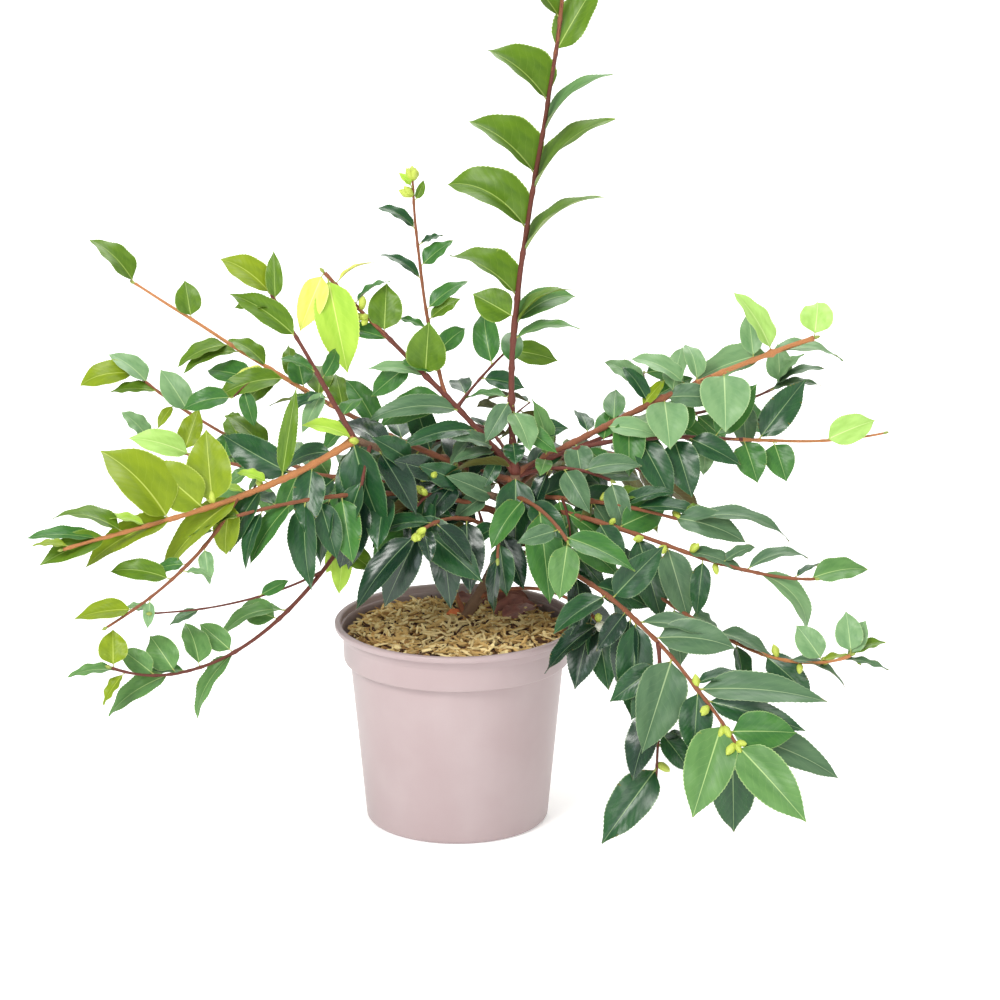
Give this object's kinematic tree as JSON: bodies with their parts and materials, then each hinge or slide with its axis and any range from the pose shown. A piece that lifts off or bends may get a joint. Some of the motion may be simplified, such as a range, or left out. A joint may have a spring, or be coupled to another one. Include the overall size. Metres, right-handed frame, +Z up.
{
  "type": "camellia shrub",
  "caption": "Young evergreen camellia shrub with an upright leader and wide arching side shoots, growing in a round tapered plastic nursery pot topped with bark mulch.",
  "frame": {"origin": "centre of the pot's flat underside, on the surface it stands on", "axes": "+Z up along the pot's axis, +X towards the plant's right side with the leader's lean, +Y towards its back"},
  "size_m": [0.645, 0.4774, 0.732],
  "materials": {
    "pot": "satin",
    "mulch": "matte",
    "bark": "matte",
    "leaf": "satin",
    "young_leaf": "satin"
  },
  "bodies": {
    "root": {"bough_back_left": "bark", "bough_back_middle": "bark", "bough_back_right": "bark", "bough_bud_shoot": "bark", "bough_front_left": "bark", "bough_leader": "bark", "bough_left_back": "bark", "bough_left_fork": "bark", "bough_left_high": "bark", "bough_left_mid": "bark", "bough_left_under": "bark", "bough_long_left": "bark", "bough_low_left": "bark", "bough_low_rise": "bark", "bough_right_back": "bark", "bough_right_hanging": "bark", "bough_right_high": "bark", "bough_right_inner": "bark", "bough_right_long": "bark", "bough_right_low": "bark", "bough_right_mid": "bark", "bough_rim_right": "bark", "bough_side_low": "bark", "bough_upper_fork": "bark", "bough_upper_left": "bark", "foliage_back_left": "leaf", "foliage_back_middle": "leaf", "foliage_back_right": "leaf", "foliage_bud_shoot": "young_leaf", "foliage_front_left": "leaf", "foliage_front_mid": "leaf", "foliage_front_right": "leaf", "foliage_hanging_tip": "leaf", "foliage_heart_back": "leaf", "foliage_heart_left": "leaf", "foliage_heart_right": "leaf", "foliage_inner_up": "leaf", "foliage_knuckle": "leaf", "foliage_leader": "leaf", "foliage_left_back": "young_leaf", "foliage_left_high": "leaf", "foliage_left_mid": "leaf", "foliage_left_under": "leaf", "foliage_long_left": "young_leaf", "foliage_low_left": "young_leaf", "foliage_right_back": "leaf", "foliage_right_hanging": "leaf", "foliage_right_high": "leaf", "foliage_right_inner": "leaf", "foliage_right_long": "leaf", "foliage_right_low": "leaf", "foliage_right_mid": "leaf", "foliage_rim_right": "leaf", "foliage_side_low": "young_leaf", "foliage_upper_fork": "leaf", "foliage_upper_left": "leaf", "pot": "pot", "root_ball": "mulch", "trunk": "bark"}
  },
  "joints": []
}
